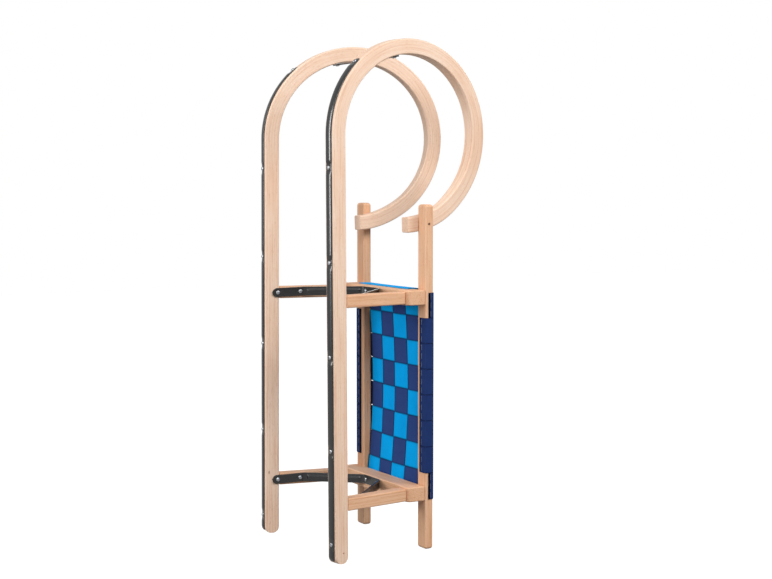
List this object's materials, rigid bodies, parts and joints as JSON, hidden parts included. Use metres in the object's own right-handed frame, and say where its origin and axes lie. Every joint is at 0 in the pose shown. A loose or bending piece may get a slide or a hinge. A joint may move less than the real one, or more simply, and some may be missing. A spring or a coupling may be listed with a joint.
{
  "type": "horn sled",
  "caption": "Wooden horn sled standing upright, with bent runners curling into closed horns, slim seat rails, steel skids and braces, and a woven two-tone webbing seat.",
  "frame": {"origin": "middle of the footprint on the floor, with the sled standing on its runner tails and seat rail ends", "axes": "+Z is the sled's forward direction, +Y points from the runner soles to the seat, +X is the sled's left side"},
  "size_m": [0.333, 0.3822, 1],
  "materials": {
    "beech": "clear varnished beech, satin",
    "black_steel": "black coated strip steel, semi-gloss",
    "zinc_steel": "bright zinc plated",
    "navy_webbing": "flat woven polyester webbing, navy",
    "blue_webbing": "flat woven polyester webbing, light blue"
  },
  "bodies": {
    "root": {"runner_left": "beech", "seat_rail_left": "beech", "leg_front_left": "beech", "leg_rear_left": "beech", "skid_left": "black_steel", "runner_right": "beech", "seat_rail_right": "beech", "leg_front_right": "beech", "leg_rear_right": "beech", "skid_right": "black_steel", "crossbar_front": "beech", "bracket_front": "black_steel", "crossbar_rear": "beech", "bracket_rear": "black_steel", "horn_strut": "black_steel", "skid_screw_left_1": "zinc_steel", "skid_screw_left_2": "zinc_steel", "skid_screw_left_3": "zinc_steel", "skid_screw_left_4": "zinc_steel", "skid_screw_left_5": "zinc_steel", "skid_screw_left_6": "zinc_steel", "strut_screw_left": "zinc_steel", "horn_end_screw_left": "zinc_steel", "bracket_screw_front_left_1": "zinc_steel", "bracket_screw_front_left_2": "zinc_steel", "bracket_screw_front_left_3": "zinc_steel", "bracket_screw_rear_left_1": "zinc_steel", "bracket_screw_rear_left_2": "zinc_steel", "bracket_screw_rear_left_3": "zinc_steel", "skid_screw_right_1": "zinc_steel", "skid_screw_right_2": "zinc_steel", "skid_screw_right_3": "zinc_steel", "skid_screw_right_4": "zinc_steel", "skid_screw_right_5": "zinc_steel", "skid_screw_right_6": "zinc_steel", "strut_screw_right": "zinc_steel", "horn_end_screw_right": "zinc_steel", "bracket_screw_front_right_1": "zinc_steel", "bracket_screw_front_right_2": "zinc_steel", "bracket_screw_front_right_3": "zinc_steel", "bracket_screw_rear_right_1": "zinc_steel", "bracket_screw_rear_right_2": "zinc_steel", "bracket_screw_rear_right_3": "zinc_steel", "webbing_lateral_1": "navy_webbing", "webbing_lateral_2": "navy_webbing", "webbing_lateral_3": "navy_webbing", "webbing_lateral_4": "navy_webbing", "webbing_lateral_5": "navy_webbing", "webbing_lateral_6": "navy_webbing", "webbing_lateral_7": "navy_webbing", "webbing_lateral_8": "navy_webbing", "webbing_long_1": "blue_webbing", "webbing_long_2": "blue_webbing", "webbing_long_3": "blue_webbing", "webbing_long_4": "blue_webbing"}
  },
  "joints": []
}
